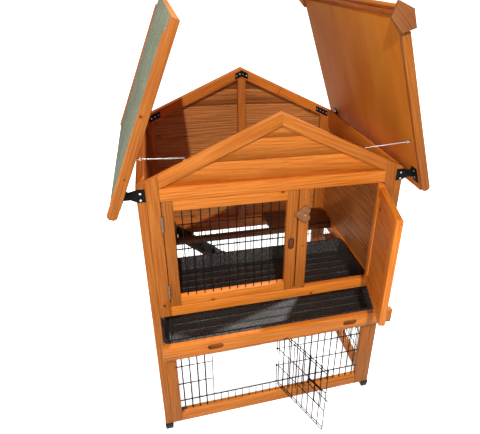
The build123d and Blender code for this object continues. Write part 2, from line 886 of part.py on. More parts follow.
for side, name in ((-1, "left"), (1, "right")):
    panel_front = barge_front + barge_thickness + butt
    panel_back = barge_back - barge_thickness - butt
    panel_length = panel_back - panel_front
    eave = -eave_overhang

    with BuildPart() as roof_panel:
        ply_top = underside + ply_thickness
        outline = [(eave, underside), (ridge_end, underside), (ridge_end, ply_top), (eave, ply_top)]
        roof_board(side, outline, panel_back, panel_length)
    save(roof_panel, f"{name}_roof_panel")

    with BuildPart() as roof_felt:
        outline = [
            (eave - 2, ply_top + butt),
            (ridge_end, ply_top + butt),
            (ridge_end, felt_top),
            (eave - 2, felt_top),
        ]
        roof_board(side, outline, panel_back, panel_length)
    save(roof_felt, f"{name}_roof_felt")

    with BuildPart() as roof_barges:
        top = underside + barge_width
        outline = [
            (eave, underside + barge_clip),
            (eave + barge_clip, underside),
            (ridge_end, underside),
            (ridge_end, felt_top - butt),
            (notch, felt_top - butt),
            (notch, top),
            (eave + barge_clip, top),
            (eave, top - barge_clip),
        ]
        roof_board(side, outline, barge_front + barge_thickness, barge_thickness)
        roof_board(side, outline, barge_back, barge_thickness)
    save(roof_barges, f"{name}_roof_barges")

    base = roof_base(side)
    with BuildPart() as roof_hinges:
        for end in (-1, 1):
            near = back + seat + hinge_plate + seat
            ear = sorted((end * near, end * (near + hinge_plate)))
            flange_y = sorted((-side * end * near, -side * end * (near + flange_width)))
            flange_t = (underside - butt - hinge_plate, underside - butt)
            origin = (side * pivot_x, ear[1], pivot_z)
            ear_plane = Plane(origin=origin, x_dir=base.x_dir, z_dir=(0, -1, 0))
            block((-flange_down, flange_up), flange_y, flange_t, base)
            with BuildSketch(ear_plane):
                Circle(hinge_nose)
                with Locations((-2, side * ear_drop)):
                    Circle(hinge_nose)
                with Locations((0, -side * (underside - butt - hinge_plate / 2))):
                    Rectangle(flange_up + 10, hinge_plate)
                make_hull()
                Circle(hinge_pin + bore_gap, mode=Mode.SUBTRACT)
            extrude(amount=hinge_plate)
    save(roof_hinges, f"{name}_roof_hinges")

    with BuildPart() as roof_eye:
        line = roof_vector(side, hook_axis)
        lean = roof_vector(side, eye_lean)
        ring_normal = line.cross(lean).normalized()
        middle = hook_pivot(side) + lean * eye_radius
        up = (base.z_dir - ring_normal * base.z_dir.dot(ring_normal)).normalized()
        crown = middle + up * eye_radius
        height = underside - butt - base.to_local_coords(crown).Z
        with Locations(Plane(origin=middle, z_dir=ring_normal)):
            Torus(eye_radius, eye_wire / 2)
        with Locations(Plane(origin=crown, z_dir=base.z_dir)):
            Cylinder(0.45 * eye_wire, height, align=(Align.CENTER, Align.CENTER, Align.MIN))
    save(roof_eye, f"{name}_roof_eye")


def felt_line(x, lift):
    """Height above a closed roof's felt."""
    return pivot_z + (felt_top + lift - (abs(x) - pivot_x) * math.sin(pitch)) / math.cos(pitch)


with BuildPart() as ridge_boards:
    for side, lift in ((1, butt), (-1, 2 * seat)):
        edge = ridge_board_width * math.cos(pitch)
        lean = ridge_board_thickness * math.sin(pitch)
        rise = ridge_board_thickness * math.cos(pitch)
        corners = [
            (side * butt / 2, felt_line(butt / 2, lift)),
            (side * edge, felt_line(edge, lift)),
            (side * (edge + lean), felt_line(edge, lift) + rise),
            (side * butt / 2, felt_line(butt / 2, lift + ridge_board_thickness)),
        ]
        outline = [closed_point(x, z) for x, z in corners]
        roof_board(1, outline, barge_back, barge_back - barge_front)
save(ridge_boards, "ridge_boards")

with BuildPart() as ridge_end_caps:
    apex = felt_line(0, ridge_board_thickness) + cap_rise
    shoulder = apex - cap_half_width * math.tan(pitch)
    corners = [
        (0, apex),
        (cap_half_width, shoulder),
        (cap_half_foot, apex - cap_height),
        (-cap_half_foot, apex - cap_height),
        (-cap_half_width, shoulder),
    ]
    outline = [closed_point(x, z) for x, z in corners]
    roof_board(1, outline, barge_front - seat, cap_thickness)
    roof_board(1, outline, barge_back + seat + cap_thickness, cap_thickness)
save(ridge_end_caps, "ridge_end_caps")

with BuildPart() as roof_hinge_plates:
    for side in (-1, 1):
        for end in (-1, 1):
            face = sorted((end * (back + seat), end * (back + seat + hinge_plate)))
            outer = half - 2
            low = pivot_z - hinge_plate_height / 2
            with BuildSketch(Plane.XZ.offset(-face[1])):
                with Locations((side * (outer - hinge_plate_width / 2), low + hinge_plate_height * 0.42)):
                    Rectangle(hinge_plate_width, hinge_plate_height * 0.84)
                with Locations((side * pivot_x, pivot_z)):
                    Circle(hinge_nose)
                make_hull()
            extrude(amount=hinge_plate)
            pin = sorted((end * (back + seat), end * (back + 4 * seat + 2 * hinge_plate)))
            with BuildSketch(Plane.XZ.offset(-pin[1])):
                with Locations((side * pivot_x, pivot_z)):
                    Circle(hinge_pin)
            extrude(amount=pin[1] - pin[0])
            head_foot = back + 2 * hinge_plate + 3 * seat
            head = sorted((end * head_foot, end * (head_foot + hinge_plate - seat)))
            with BuildSketch(Plane.XZ.offset(-head[1])):
                with Locations((side * pivot_x, pivot_z)):
                    Circle(hinge_pin + 2)
            extrude(amount=head[1] - head[0])
save(roof_hinge_plates, "roof_hinge_plates")


# =============================================================== stay hooks
with BuildPart() as gable_eyes:
    for side in (-1, 1):
        out = Vector(side * math.sin(pitch), 0, math.cos(pitch))
        middle = hook_elbow(side) - out * hook_tip
        foot = front + frame_thickness + butt
        with Locations(Plane(origin=middle, z_dir=out)):
            Torus(eye_radius, eye_wire / 2)
        with Locations(Plane(origin=(middle.X, foot, middle.Z), z_dir=(0, 1, 0))):
            neck = middle.Y - eye_radius - foot
            Cylinder(0.45 * eye_wire, neck, align=(Align.CENTER, Align.CENTER, Align.MIN))
save(gable_eyes, "gable_eyes")

hook_ring = (hook_wire + eye_wire) / 2 + seat

for side, name in ((-1, "left"), (1, "right")):
    pivot = hook_pivot(side)
    elbow = hook_elbow(side)
    line = roof_vector(side, hook_axis)
    toward = elbow - pivot
    root = pivot + (toward - line * toward.dot(line)).normalized() * hook_ring
    rod = elbow - root
    down = Vector(-side * math.sin(pitch), 0, -math.cos(pitch))
    from_end = (Align.CENTER, Align.CENTER, Align.MIN)
    with BuildPart() as stay_hook:
        with Locations(Plane(origin=pivot, z_dir=line)):
            Torus(hook_ring, hook_wire / 2)
        with Locations(Plane(origin=root, z_dir=rod)):
            Cylinder(0.45 * hook_wire, rod.length, align=from_end)
        with Locations(elbow):
            Sphere(hook_wire / 2)
        with Locations(Plane(origin=elbow, z_dir=down)):
            Cylinder(0.45 * hook_wire, 2 * hook_tip - 1, align=from_end)
    save(stay_hook, f"{name}_stay_hook")

# =============================================================== ramp
slope = math.radians(ramp_slope)
ramp_pin_z = floor_level - ramp_pin_drop
cover = leaf_thickness + seat
ramp_low = -ramp_barrel - ramp_thickness
ramp_length = (ramp_pin_z + ramp_low * math.cos(slope) - ramp_ground_gap) / math.sin(slope)
ramp_middle = (beam_front + beam_thickness + back_frame_front) / 2
ramp_base = Plane(
    origin=(ramp_hinge_x, ramp_middle, ramp_pin_z),
    x_dir=(math.cos(slope), 0, -math.sin(slope)),
    z_dir=(math.sin(slope), 0, math.cos(slope)),
)

with BuildPart() as ramp_board:
    ramp_top = -ramp_barrel
    half_ramp = ramp_width / 2
    block((ramp_barrel + 2, ramp_length), (-half_ramp, half_ramp), (ramp_low, ramp_top), ramp_base)
save(ramp_board, "ramp_board")

with BuildPart() as ramp_cleats:
    count = math.floor((ramp_length - last_cleat_gap) / cleat_pitch)
    for i in range(count):
        start = first_cleat + i * cleat_pitch
        levels = (ramp_top + butt, ramp_top + butt + cleat_height)
        block((start, start + cleat_width), (4 - half_ramp, half_ramp - 4), levels, ramp_base)
save(ramp_cleats, "ramp_cleats")

knuckle = ramp_hinge_length / 3
across = (90, 0, 0)

with BuildPart() as ramp_hinge:
    plate = (ramp_top + butt, ramp_top + butt + leaf_thickness)
    half_hinge = ramp_hinge_length / 2
    block((ramp_barrel + 1, ramp_leaf_reach), (-half_hinge, half_hinge), plate, ramp_base)
    block((0, ramp_barrel + 1), (seat / 2 - knuckle / 2, knuckle / 2 - seat / 2), plate, ramp_base)
    with Locations(ramp_base.location):
        Cylinder(ramp_barrel, knuckle - seat, rotation=across)
        Cylinder(pin_radius + bore_gap - 0.2, knuckle, rotation=across, mode=Mode.SUBTRACT)
save(ramp_hinge, "ramp_hinge")

with BuildPart() as ramp_hinge_plate:
    pin_line = Plane(origin=ramp_base.origin, x_dir=(-1, 0, 0), z_dir=(0, 0, 1))
    plate = (ramp_pin_drop - leaf_thickness, ramp_pin_drop)
    reach = ramp_hinge_x - ramp_hole_left
    block((ramp_barrel + 1, reach + ramp_plate_reach), (-half_hinge, half_hinge), plate, pin_line)
    for end in (-1, 1):
        middle = end * knuckle
        span = (middle - knuckle / 2 + seat / 2, middle + knuckle / 2 - seat / 2)
        block((0, ramp_barrel + 1), span, plate, pin_line)
        with Locations(pin_line.location * Location((0, middle, 0))):
            Cylinder(ramp_barrel, knuckle - seat, rotation=across)
    with Locations(pin_line.location):
        Cylinder(pin_radius - 0.2, ramp_hinge_length, rotation=across)
save(ramp_hinge_plate, "ramp_hinge_plate")
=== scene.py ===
import json
import math

import bmesh
import bpy
import numpy as np
from mathutils import Matrix, Vector


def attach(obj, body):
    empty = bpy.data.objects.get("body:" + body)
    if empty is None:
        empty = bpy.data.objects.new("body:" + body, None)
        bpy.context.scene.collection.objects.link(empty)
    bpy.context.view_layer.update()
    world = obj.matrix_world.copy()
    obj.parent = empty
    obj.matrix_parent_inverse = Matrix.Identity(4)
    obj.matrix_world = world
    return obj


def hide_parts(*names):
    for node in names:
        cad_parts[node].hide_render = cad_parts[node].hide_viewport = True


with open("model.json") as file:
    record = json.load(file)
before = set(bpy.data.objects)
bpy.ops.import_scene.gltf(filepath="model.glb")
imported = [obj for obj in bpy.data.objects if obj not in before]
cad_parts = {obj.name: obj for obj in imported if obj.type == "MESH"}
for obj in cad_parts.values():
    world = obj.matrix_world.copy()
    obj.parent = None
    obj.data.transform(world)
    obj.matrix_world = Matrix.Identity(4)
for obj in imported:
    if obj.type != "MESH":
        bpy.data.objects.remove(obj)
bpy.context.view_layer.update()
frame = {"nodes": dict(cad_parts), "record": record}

# ------------------------------------------------------------ corner posts and side rails
# Planed fir, 34 x 24 mm, housed together and stained golden orange before assembly.  Every
# edge is eased with a plane, so it catches a thin line of light.  The stain sinks into the
# soft early wood and leaves the late wood as faint darker streaks.
mm = 0.001  # in metres
bodies = {}
for body, nodes in frame["record"]["behaviour"]["bodies"].items():
    bodies.update(dict.fromkeys(nodes, body))


def linear(colour):
    """A colour in sRGB hex as the linear values that the shader takes."""
    parts = [int(colour[i : i + 2], 16) / 255 for i in (1, 3, 5)]
    return [p / 12.92 if p <= 0.04045 else ((p + 0.055) / 1.055) ** 2.4 for p in parts] + [1.0]


def finish(name):
    """A new material with nothing in it yet."""
    material = bpy.data.materials.new(name)
    material.use_nodes = True
    material.node_tree.nodes.clear()
    return material


def add(material, kind, inputs=None, out=0, stops=(), **settings):
    """Adds a node with its settings and links, and gives back one of its outputs."""
    tree = material.node_tree
    node = tree.nodes.new("ShaderNode" + kind)
    for name, value in settings.items():
        setattr(node, name, value)
    for name, value in (inputs or {}).items():
        if isinstance(value, bpy.types.NodeSocket):
            tree.links.new(value, node.inputs[name])
        else:
            node.inputs[name].default_value = value
    for index, (place, colour) in enumerate(stops):
        points = node.color_ramp.elements
        point = points[index] if index < 2 else points.new(place)
        point.position = place
        point.color = linear(colour)
    return node.outputs[out] if len(node.outputs) else None


def fir(name, early, middle, late, knot="#6B300E", ring=6.5, knots=5.5, streak=0.5):
    """Stained fir that follows each board: rings, fibres, stain clouds and knots.

    The rings are 6.5 mm apart, coarser than the 3 mm of real fir, so that they show.
    """
    wood = finish(name)
    grain = add(wood, "Attribute", out="Vector", attribute_name="grain")
    tone = add(wood, "Attribute", out="Fac", attribute_name="tone")

    # knots: so many cells to the metre, one knot to a cell, each with a darker halo; at 5.5
    # to the metre a knot is 4 to 14 mm across
    flat = {"voronoi_dimensions": "2D"}
    spots = add(wood, "Mapping", {"Vector": grain, "Scale": (knots * 0.8, knots, 0.0)})
    apart = add(wood, "TexVoronoi", {"Vector": spots, "Scale": 1.0}, **flat)
    chance = add(wood, "TexVoronoi", {"Vector": spots, "Scale": 1.0}, "Color", **flat)
    chance = add(wood, "SeparateColor", {"Color": chance})
    reach = add(wood, "MapRange", {"Value": chance, "To Min": 0.012, "To Max": 0.038})
    ratio = add(wood, "Math", {0: apart, 1: reach}, operation="DIVIDE")
    soft = {"interpolation_type": "SMOOTHSTEP"}
    heart = add(wood, "MapRange", {"Value": ratio, "From Min": 1.2, "From Max": 0.6}, **soft)
    halo = add(wood, "MapRange", {"Value": ratio, "From Min": 3.2, "From Max": 0.9}, **soft)

    # growth rings, bent up to 6 mm by slow noise and pushed aside up to 7 mm by the knots
    bend, shove = 12 * mm, 7 * mm
    slow = add(wood, "Mapping", {"Vector": grain, "Location": (3, 3, 3), "Scale": (1.6, 16, 16)})
    slow = add(wood, "TexNoise", {"Vector": slow, "Scale": 1.0, "Detail": 2.0}, "Color")
    slow = add(wood, "VectorMath", {0: slow, 1: (0.5, 0.5, 0.5)}, operation="SUBTRACT")
    slow = add(wood, "VectorMath", {0: slow, 1: (0, bend, bend)}, operation="MULTIPLY")
    bent = add(wood, "VectorMath", {0: grain, 1: slow}, operation="ADD")
    push = add(wood, "Math", {0: halo, 1: shove}, operation="MULTIPLY")
    push = add(wood, "CombineXYZ", {"Z": push})
    bent = add(wood, "VectorMath", {0: bent, 1: push}, operation="ADD")
    tilt = (0.0, math.radians(1.6), math.radians(0.8))  # the saw seldom follows the heart
    bent = add(wood, "Mapping", {"Vector": bent, "Rotation": tilt})
    period = 10 * ring * mm / math.pi  # the wave repeats every pi / 10 at a scale of 1
    rings = {"Vector": bent, "Scale": 1 / period, "Distortion": 1.2}
    rings.update({"Detail": 2.0, "Detail Scale": 1.5})
    wave = {"wave_type": "RINGS", "rings_direction": "X", "wave_profile": "SIN"}
    rings = add(wood, "TexWave", rings, "Fac", **wave)

    # fibres 3 mm wide and 120 mm long, and clouds of stain 80 mm wide and 300 mm long
    fibre = add(wood, "Mapping", {"Vector": grain, "Location": (7, 7, 7), "Scale": (8, 330, 330)})
    fibre = add(wood, "TexNoise", {"Vector": fibre, "Scale": 1.0, "Detail": 3.0})
    cloud = add(wood, "Mapping", {"Vector": grain, "Location": (1, 1, 1), "Scale": (3.2, 13, 13)})
    cloud = add(wood, "TexNoise", {"Vector": cloud, "Scale": 1.0, "Detail": 2.0})

    mixed = add(wood, "Math", {0: rings, 1: 0.34 * streak}, operation="MULTIPLY")
    mixed = add(wood, "Math", {0: fibre, 1: 0.9, 2: mixed}, operation="MULTIPLY_ADD")
    stops = ((0.34, early), (0.53, middle), (0.74, late))
    colour = add(wood, "ValToRGB", {"Fac": mixed}, stops=stops)
    base, by_tone, by_cloud = 0.81, 0.14, 0.26
    value = {0: tone, 1: by_tone, 2: base}
    value = add(wood, "Math", value, operation="MULTIPLY_ADD")
    value = add(wood, "Math", {0: cloud, 1: by_cloud, 2: value}, operation="MULTIPLY_ADD")
    colour = add(wood, "HueSaturation", {"Value": value, "Color": colour})
    dim = add(wood, "Math", {0: halo, 1: 0.3}, operation="MULTIPLY")
    colour = add(wood, "MixRGB", {"Fac": dim, "Color1": colour, "Color2": linear(late)})
    colour = add(wood, "MixRGB", {"Fac": heart, "Color1": colour, "Color2": linear(knot)})

    height = add(wood, "Math", {0: fibre, 1: 0.8, 2: rings}, operation="MULTIPLY_ADD")
    relief = add(wood, "Bump", {"Strength": 0.25, "Distance": 0.3 * mm, "Height": height})
    rough = add(wood, "MapRange", {"Value": fibre, "To Min": 0.42, "To Max": 0.62})
    skin = {"Base Color": colour, "Roughness": rough, "Normal": relief, "Specular IOR Level": 0.2}
    skin = add(wood, "BsdfPrincipled", skin)
    add(wood, "OutputMaterial", {"Surface": skin})
    return wood


stained_fir = fir("stained_fir", "#E88D38", "#DB7B24", "#C0641A", streak=0.4)
shades = np.random.default_rng(17)


def lay_grain(piece, upright_shade):
    """Notes, for each board of a piece, the place along and across its own grain, and a tone.

    A board is whatever hangs together.  An upright one gets its tone lowered by the given
    amount, as painted shade; a negative amount raises it instead, as painted light.
    """
    mesh = piece.data
    points = np.empty(len(mesh.vertices) * 3)
    mesh.vertices.foreach_get("co", points)
    points = points.reshape(-1, 3)
    edges = np.empty(len(mesh.edges) * 2, dtype=np.int64)
    mesh.edges.foreach_get("vertices", edges)
    edges = edges.reshape(-1, 2)
    board = np.arange(len(points))
    while True:
        low = np.minimum(board[edges[:, 0]], board[edges[:, 1]])
        joined = board.copy()
        np.minimum.at(joined, edges[:, 0], low)
        np.minimum.at(joined, edges[:, 1], low)
        joined = joined[joined]
        if (joined == board).all():
            break
        board = joined
    # each board is cut from its own place in 4 m of log, with the heart about 35 mm off
    log, heart = (4.0, 0.05, 0.05), (0.0, -0.025, 0.035)
    grain = np.zeros_like(points)
    tone = np.zeros(len(points))
    spans = points[edges[:, 1]] - points[edges[:, 0]]
    lengths = np.linalg.norm(spans, axis=1)
    for name in np.unique(board):
        own = board == name
        runs = own[edges[:, 0]]
        along = spans[runs][lengths[runs].argmax()]
        along = along / np.linalg.norm(along)
        square = spans[runs] - np.outer(spans[runs] @ along, along)
        square[np.abs(spans[runs] @ along) > 0.05 * lengths[runs]] = 0
        across = square[np.linalg.norm(square, axis=1).argmax()]
        across = across / max(np.linalg.norm(across), 1e-9)
        axes = np.stack([along, across, np.cross(along, across)], axis=1)
        local = (points[own] - points[own].mean(axis=0)) @ axes
        grain[own] = local + shades.random(3) * log + heart
        # uprights are darkened here as painted shade, or lightened as painted light when the
        # amount is below zero
        tone[own] = shades.random() - upright_shade * abs(along[2])
    notes = mesh.attributes.new("grain", "FLOAT_VECTOR", "POINT")
    notes.data.foreach_set("vector", grain.ravel())
    notes = mesh.attributes.new("tone", "FLOAT", "POINT")
    notes.data.foreach_set("value", tone)


def make(node, material, ease=1.2, smooth=40, grained=False, upright_shade=2.5):
    """Dresses a CAD piece: a merged copy with its edges eased, its grain and its finish.

    The ease is the bevel's width in mm, and smooth the angle in degrees under which two faces
    share their shading.  The last argument lowers the tone of upright boards as painted shade.
    """
    source = frame["nodes"][node]
    piece = source.copy()
    piece.data = source.data.copy()
    piece.name = node + "_made"
    bpy.context.scene.collection.objects.link(piece)
    bpy.ops.object.select_all(action="DESELECT")
    piece.select_set(True)
    bpy.context.view_layer.objects.active = piece
    bpy.ops.object.mode_set(mode="EDIT")
    bpy.ops.mesh.select_all(action="SELECT")
    bpy.ops.mesh.remove_doubles(threshold=0.02 * mm)
    bpy.ops.mesh.dissolve_limited(angle_limit=math.radians(0.5))
    bpy.ops.object.mode_set(mode="OBJECT")
    if ease:
        bevel = piece.modifiers.new("eased", "BEVEL")
        bevel.width = ease * mm
        bevel.segments = 2
        bevel.limit_method = "ANGLE"
        bevel.angle_limit = math.radians(35)
        bevel.use_clamp_overlap = False
        bpy.ops.object.modifier_apply(modifier="eased")
    bpy.ops.object.shade_smooth_by_angle(angle=math.radians(smooth))
    if grained:
        lay_grain(piece, upright_shade)
    piece.data.materials.clear()
    piece.data.materials.append(material)
    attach(piece, bodies[node])
    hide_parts(node)
    return piece


for side in ("left", "right"):
    make(side + "_side_posts", stained_fir, grained=True)
    make(side + "_side_rails", stained_fir, grained=True)

# ------------------------------------------------------------ side and back boards
# Tongued boards, 61 mm to the course, with a small V along each joint.  The same stain as
# the frame on a cheaper cut of fir, which is browner and has more knots.
board_fir = fir("knotty_stained_fir", "#CE8A4B", "#C07839", "#925425", knots=7.0, streak=0.6)
for node in ("left_side_boards", "right_side_boards", "back_boards"):
    make(node, board_fir, ease=0, grained=True)

# ------------------------------------------------------------ back frame
# Stiles, rails and rakes of the same planed fir, which carry the boards.  The stiles and the
# rakes show from inside, and black brackets hold their joints.
for node in ("back_stiles", "back_rails", "back_rakes"):
    make(node, stained_fir, grained=True)

# ------------------------------------------------------------ front frame and gable
# The face of the hutch: two stiles, sill and eave rails, a mullion, and two rakes mitred at
# the apex over three wide boards.
for node in ("front_stiles", "front_rails", "front_mullion", "gable_rakes"):
    make(node, stained_fir, grained=True)
make("gable_boards", stained_fir, ease=0, grained=True)

# ------------------------------------------------------------ run frame
# Two stiles and two rails of the same planed fir, housed together round the mesh.  The lower
# rail's upper front edge is cut off wide.
for node in ("run_front_stiles", "run_front_rails"):
    make(node, stained_fir, grained=True)

# ------------------------------------------------------------ floor
# Two beams and the runners carry the tray and the rear floor, which leaves a hole over the
# ramp.  Fir again, a darker brown than the frame.
inner_fir = fir("dark_brown_fir", "#86562C", "#6C4020", "#4C2A14")
for node in ("floor_beams", "rear_floor", "tray_runners"):
    make(node, inner_fir, grained=True)

# ------------------------------------------------------------ welded mesh
# Half-hard steel wire, 2.4 mm, spot welded at 25.4 mm pitch, then powder coated satin black
# with a faint orange peel.  The coat is thickest on the run's front, and the wires across the
# hatch have none, so that the wire door clears them.
black_wire = finish("black_coated_wire")
place = add(black_wire, "TexCoord", out="Object")
peel = add(black_wire, "TexNoise", {"Vector": place, "Scale": 900.0, "Detail": 1.0})
relief = add(black_wire, "Bump", {"Strength": 0.2, "Distance": 0.1 * mm, "Height": peel})
colour = add(black_wire, "ValToRGB", {"Fac": peel}, stops=((0.3, "#060606"), (0.7, "#0D0C0C")))
skin = {"Base Color": colour, "Roughness": 0.6, "Normal": relief, "Specular IOR Level": 0.1}
add(black_wire, "OutputMaterial", {"Surface": add(black_wire, "BsdfPrincipled", skin)})
# A corner moved by the coating makes a wire about 0.7 of it thicker on each side.
coating, heavy = 0.5 * mm, 1.3 * mm
# the hatch's opening in the run's front, and how far from its edge a wire still counts, in mm
hatch_x, hatch_z = -101.6, 243
hatch_half_width, hatch_half_height, wire_room = 118, 136.2, 4
for node in (
    "left_side_mesh",
    "right_side_mesh",
    "back_mesh",
    "run_front_mesh",
    "left_door_mesh",
    "wire_door",
    "wire_door_rings",
    "wire_bolt",
):
    grid = make(node, black_wire, ease=0, smooth=75)
    front = node == "run_front_mesh"
    bpy.ops.object.mode_set(mode="EDIT")
    bpy.ops.mesh.select_all(action="DESELECT")
    bpy.ops.object.mode_set(mode="OBJECT")
    for point in grid.data.vertices:
        x, _, z = point.co / mm
        beside = abs(x - hatch_x) > hatch_half_width
        level = abs(abs(z - hatch_z) - hatch_half_height) < wire_room
        point.select = not front or (beside and not level)
    bpy.ops.object.mode_set(mode="EDIT")
    bpy.ops.transform.shrink_fatten(value=heavy if front else coating)
    bpy.ops.object.mode_set(mode="OBJECT")

# ------------------------------------------------------------ left door
# A frame of fir round welded mesh, hung on two butt hinges.  A finger grip is routed in its
# right stile, and the recess gets a darker, rougher fir as painted shade.
# a darker, rougher fir laid in recesses as painted shade
recess_shade_fir = fir("recess_shade_fir", "#9C5622", "#87481A", "#6A3612", knots=0.4)


def mark_recess(piece, axis, low, high):
    """Gives the darker fir, painted shade, to the faces that lie between two places on an axis, on
    either side.
    """
    piece.data.materials.append(recess_shade_fir)
    for face in piece.data.polygons:
        reach = [abs(piece.data.vertices[v].co[axis]) for v in face.vertices]
        if min(reach) > low * mm and max(reach) < high * mm:
            face.material_index = 1


grip_levels = (2, 700, 751)  # both doors' grips lie at this height: the axis, then mm


mark_recess(make("left_door_frame", stained_fir, ease=0.9, grained=True), *grip_levels)

# ------------------------------------------------------------ right door
# The same frame with V-jointed boards let into it.  Its upright boards are painted lighter
# rather than darker, as painted light.  It stands open.
painted_upright_light = -0.8
boarded = make("right_door_frame", stained_fir, ease=0.9, grained=True, upright_shade=painted_upright_light)
mark_recess(boarded, *grip_levels)
make("right_door_boards", stained_fir, ease=0, grained=True, upright_shade=painted_upright_light)

# ------------------------------------------------------------ butt hinges
# Pressed steel, zinc plated: thin leaves with rolled knuckles, screwed into the gap between
# door and stile.  Theirs is drawn darker and duller, and the other zinc is bright with faint
# spangles.
zinc = finish("zinc_plated_steel")
place = add(zinc, "TexCoord", out="Object")
spangle = add(zinc, "TexVoronoi", {"Vector": place, "Scale": 260.0})
haze = add(zinc, "TexNoise", {"Vector": place, "Scale": 90.0, "Detail": 3.0})
tint = add(zinc, "Math", {0: spangle, 1: 0.4, 2: haze}, operation="MULTIPLY_ADD")
colour = add(zinc, "ValToRGB", {"Fac": tint}, stops=((0.3, "#9B9D9B"), (0.8, "#D2D3D0")))
rough = add(zinc, "MapRange", {"Value": haze, "To Min": 0.25, "To Max": 0.5})
skin = {"Base Color": colour, "Roughness": rough, "Metallic": 1.0}
add(zinc, "OutputMaterial", {"Surface": add(zinc, "BsdfPrincipled", skin)})
dull = finish("dulled_zinc_plate")
place = add(dull, "TexCoord", out="Object")
haze = add(dull, "TexNoise", {"Vector": place, "Scale": 300.0, "Detail": 3.0})
colour = add(dull, "ValToRGB", {"Fac": haze}, stops=((0.3, "#57534D"), (0.75, "#8C877E")))
skin = {"Base Color": colour, "Roughness": 0.6, "Metallic": 0.9}
add(dull, "OutputMaterial", {"Surface": add(dull, "BsdfPrincipled", skin)})
for node in ("door_hinge_leaves", "left_door_hinges", "right_door_hinges"):
    make(node, dull, ease=0.25)

# ------------------------------------------------------------ heart button
# Sawn from alder, sanded and only sealed, so it is a paler, greyer brown than the fir.  Its
# screw is chromated, a dull yellow that nearly matches the wood.
alder = fir("sealed_alder", "#B27A4E", "#A66C42", "#965C34", ring=5.0, knots=0.4, streak=0.3)
make("turn_button", alder, ease=0.8, grained=True)
chromated = finish("chromated_steel")
place = add(chromated, "TexCoord", out="Object")
haze = add(chromated, "TexNoise", {"Vector": place, "Scale": 400.0, "Detail": 2.0})
colour = add(chromated, "ValToRGB", {"Fac": haze}, stops=((0.3, "#9C6E44"), (0.7, "#B58555")))
skin = {"Base Color": colour, "Roughness": 0.55, "Metallic": 1.0}
add(chromated, "OutputMaterial", {"Surface": add(chromated, "BsdfPrincipled", skin)})
make("button_screw", chromated, ease=0.4)

# ------------------------------------------------------------ tray
# Vacuum formed from black polystyrene sheet: rounded corners, shallow ribs, and a leathery
# grain pressed into the sheet, which breaks each gleam.  Grey specks in its colour are painted
# glints.  The grain is drawn 5 mm wide, coarser than the 1 mm of the real sheet, so that it shows.
tray_black = finish("grained_black_polystyrene")
place = add(tray_black, "TexCoord", out="Object")
pebble = add(tray_black, "TexVoronoi", {"Vector": place, "Scale": 220.0})
speck_grain_and_glint = {"Vector": place, "Scale": 230.0, "Detail": 2.0, "Roughness": 0.7}
speck_grain_and_glint = add(tray_black, "TexNoise", speck_grain_and_glint)
scuff = add(tray_black, "TexNoise", {"Vector": place, "Scale": 9.0, "Detail": 3.0})
height = add(tray_black, "Math", {0: pebble, 1: 0.8, 2: speck_grain_and_glint}, operation="MULTIPLY_ADD")
relief = add(tray_black, "Bump", {"Strength": 1.0, "Distance": 1.1 * mm, "Height": height})
# the lightest stop paints the grey specks, which are painted glints
stops = ((0.36, "#131212"), (0.54, "#262321"), (0.7, "#6E6860"))
colour = add(tray_black, "ValToRGB", {"Fac": speck_grain_and_glint}, stops=stops)
rough = {"Value": scuff, "From Min": 0.3, "From Max": 0.7, "To Min": 0.4, "To Max": 0.52}
rough = add(tray_black, "MapRange", rough)
skin = {"Base Color": colour, "Roughness": rough, "Normal": relief, "Specular IOR Level": 0.4}
add(tray_black, "OutputMaterial", {"Surface": add(tray_black, "BsdfPrincipled", skin)})
make("tray_pan", tray_black, ease=0.8)
# the recesses in the rail, 190 to 240 mm either side of the middle, get the darker fir as painted
# shade
mark_recess(make("tray_front_rail", stained_fir, grained=True), 0, 190, 240)

# ------------------------------------------------------------ roofs
# Each half is plywood with barge boards nailed to its ends and mineral felt glued over it.
# The plywood is stained like the frame, but takes the stain in wide, soft flames.
plywood = finish("stained_plywood")
grain = add(plywood, "Attribute", out="Vector", attribute_name="grain")
wide = add(plywood, "Mapping", {"Vector": grain, "Scale": (9.0, 2.6, 9.0)})
flame = {"Vector": wide, "Scale": 1.0, "Detail": 4.0, "Distortion": 0.6}
flame = add(plywood, "TexNoise", flame)
fine = add(plywood, "Mapping", {"Vector": grain, "Scale": (500.0, 14.0, 500.0)})
pores = add(plywood, "TexNoise", {"Vector": fine, "Scale": 1.0, "Detail": 2.0})
blend = add(plywood, "Math", {0: pores, 1: 0.3}, operation="MULTIPLY")
blend = add(plywood, "Math", {0: flame, 1: 0.7, 2: blend}, operation="MULTIPLY_ADD")
stops = ((0.3, "#D6761F"), (0.5, "#E68829"), (0.72, "#F09A3A"))
colour = add(plywood, "ValToRGB", {"Fac": blend}, stops=stops)
relief = add(plywood, "Bump", {"Strength": 0.2, "Distance": 0.2 * mm, "Height": pores})
skin = {"Base Color": colour, "Roughness": 0.7, "Normal": relief, "Specular IOR Level": 0.1}
add(plywood, "OutputMaterial", {"Surface": add(plywood, "BsdfPrincipled", skin)})

